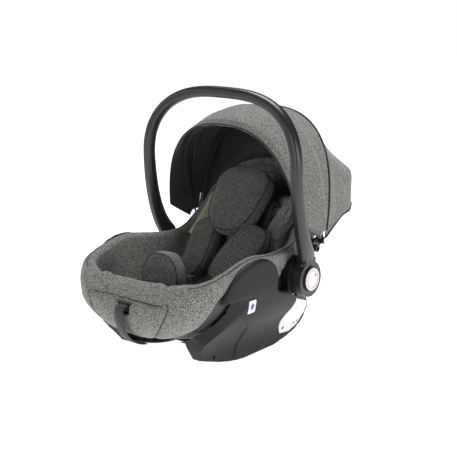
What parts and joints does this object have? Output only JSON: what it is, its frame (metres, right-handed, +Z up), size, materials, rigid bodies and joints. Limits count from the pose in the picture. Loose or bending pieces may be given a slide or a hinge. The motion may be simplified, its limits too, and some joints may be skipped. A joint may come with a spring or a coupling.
{
  "type": "infant car seat",
  "caption": "Rear-facing infant carrier: padded bucket on a rocker base with a turning carry handle, a folding canopy, a harness and a front strap adjuster.",
  "frame": {"origin": "centre of the bounding box at floor level", "axes": "+X is the seated child's left, +Y points to the head end, +Z is up; the handle's hinge line is parallel to X"},
  "size_m": [0.442, 0.6548, 0.586],
  "materials": {
    "base_plastic": "satin",
    "foam": "matte",
    "melange_fabric": "heathered weave",
    "black_webbing": "woven",
    "black_plastic": "satin",
    "red_plastic": "gloss",
    "steel": "satin",
    "blue_plastic": "satin",
    "handle_plastic": "fine grain",
    "gear_plastic": "natural",
    "white_disc": "satin",
    "label": "paper",
    "tag_cloth": "woven"
  },
  "bodies": {
    "seat": {"seat_shell": "base_plastic", "rocker_base": "base_plastic", "impact_liner": "foam", "seat_cover": "melange_fabric", "seat_pad": "melange_fabric", "head_pillow": "melange_fabric", "shoulder_pad_left": "melange_fabric", "shoulder_pad_right": "melange_fabric", "crotch_pad": "melange_fabric", "shoulder_strap_left": "black_webbing", "shoulder_strap_right": "black_webbing", "crotch_strap": "black_webbing", "buckle_body": "black_plastic", "buckle_spring": "steel", "buckle_tongue_left": "steel", "buckle_tongue_right": "steel", "adjuster_housing": "black_plastic", "adjuster_pin": "steel", "adjuster_strap": "black_webbing", "strap_yoke": "steel", "rear_belt_guide": "blue_plastic", "canopy_bracket_left": "black_plastic", "canopy_bracket_right": "black_plastic", "canopy_pin_left": "steel", "canopy_pin_right": "steel", "canopy_rear_panel": "melange_fabric", "lock_plate_left": "handle_plastic", "lock_plate_right": "handle_plastic", "hub_spindle_left": "steel", "hub_spindle_right": "steel", "side_label": "label", "rear_label": "label", "seat_tag": "tag_cloth", "plate_screws": "steel"},
    "handle": {"handle_bow": "handle_plastic", "handle_hub_left": "handle_plastic", "handle_hub_right": "handle_plastic", "release_spring_left": "steel", "release_spring_right": "steel"},
    "release_left": {"lock_gear_left": "gear_plastic", "release_button_left": "handle_plastic", "button_disc_left": "white_disc"},
    "release_right": {"lock_gear_right": "gear_plastic", "release_button_right": "handle_plastic", "button_disc_right": "white_disc"},
    "canopy_mid": {"mid_bow": "black_plastic", "mid_bow_eye_left": "black_plastic", "mid_bow_eye_right": "black_plastic", "canopy_mid_panel": "melange_fabric"},
    "canopy_front": {"front_bow": "black_plastic", "front_bow_eye_left": "black_plastic", "front_bow_eye_right": "black_plastic", "canopy_front_panel": "melange_fabric"},
    "buckle_press": {"buckle_button": "red_plastic"},
    "adjuster": {"adjuster_lever": "steel"}
  },
  "joints": [
    {"name": "handle_tilt", "type": "hinge", "parent": "seat", "child": "handle", "pos_m": [0, 0.0574, 0.178], "axis": [-1, 0, 0], "range_deg": [0, 110]},
    {"name": "release_left", "type": "slide", "parent": "handle", "child": "release_left", "axis": [-1, 0, 0], "range_m": [0, 0.004], "stiffness_N_per_m": 1200, "springref_m": -0.003, "deforming": ["release_spring_left"]},
    {"name": "release_right", "type": "slide", "parent": "handle", "child": "release_right", "axis": [1, 0, 0], "range_m": [0, 0.004], "stiffness_N_per_m": 1200, "springref_m": -0.003, "deforming": ["release_spring_right"]},
    {"name": "canopy_fold", "type": "hinge", "parent": "seat", "child": "canopy_mid", "pos_m": [0, 0.1474, 0.243], "axis": [-1, 0, 0], "range_deg": [0, 17]},
    {"name": "canopy_front_fold", "type": "hinge", "parent": "canopy_mid", "child": "canopy_front", "pos_m": [0, 0.1474, 0.243], "axis": [-1, 0, 0], "range_deg": [0, 17]},
    {"name": "buckle_press", "type": "slide", "parent": "seat", "child": "buckle_press", "axis": [0, 1, 0], "range_m": [0, 0.003], "stiffness_N_per_m": 1500, "springref_m": -0.003, "deforming": ["buckle_spring"]},
    {"name": "adjuster_lift", "type": "hinge", "parent": "seat", "child": "adjuster", "pos_m": [0, -0.3036, 0.155], "axis": [1, 0, 0], "range_deg": [0, 18], "stiffness_Nm_per_rad": 0.05, "springref_deg": -5.73}
  ],
  "couplings": [
    {"joint": "canopy_front_fold", "follows": "canopy_fold", "ratio": 1}
  ]
}
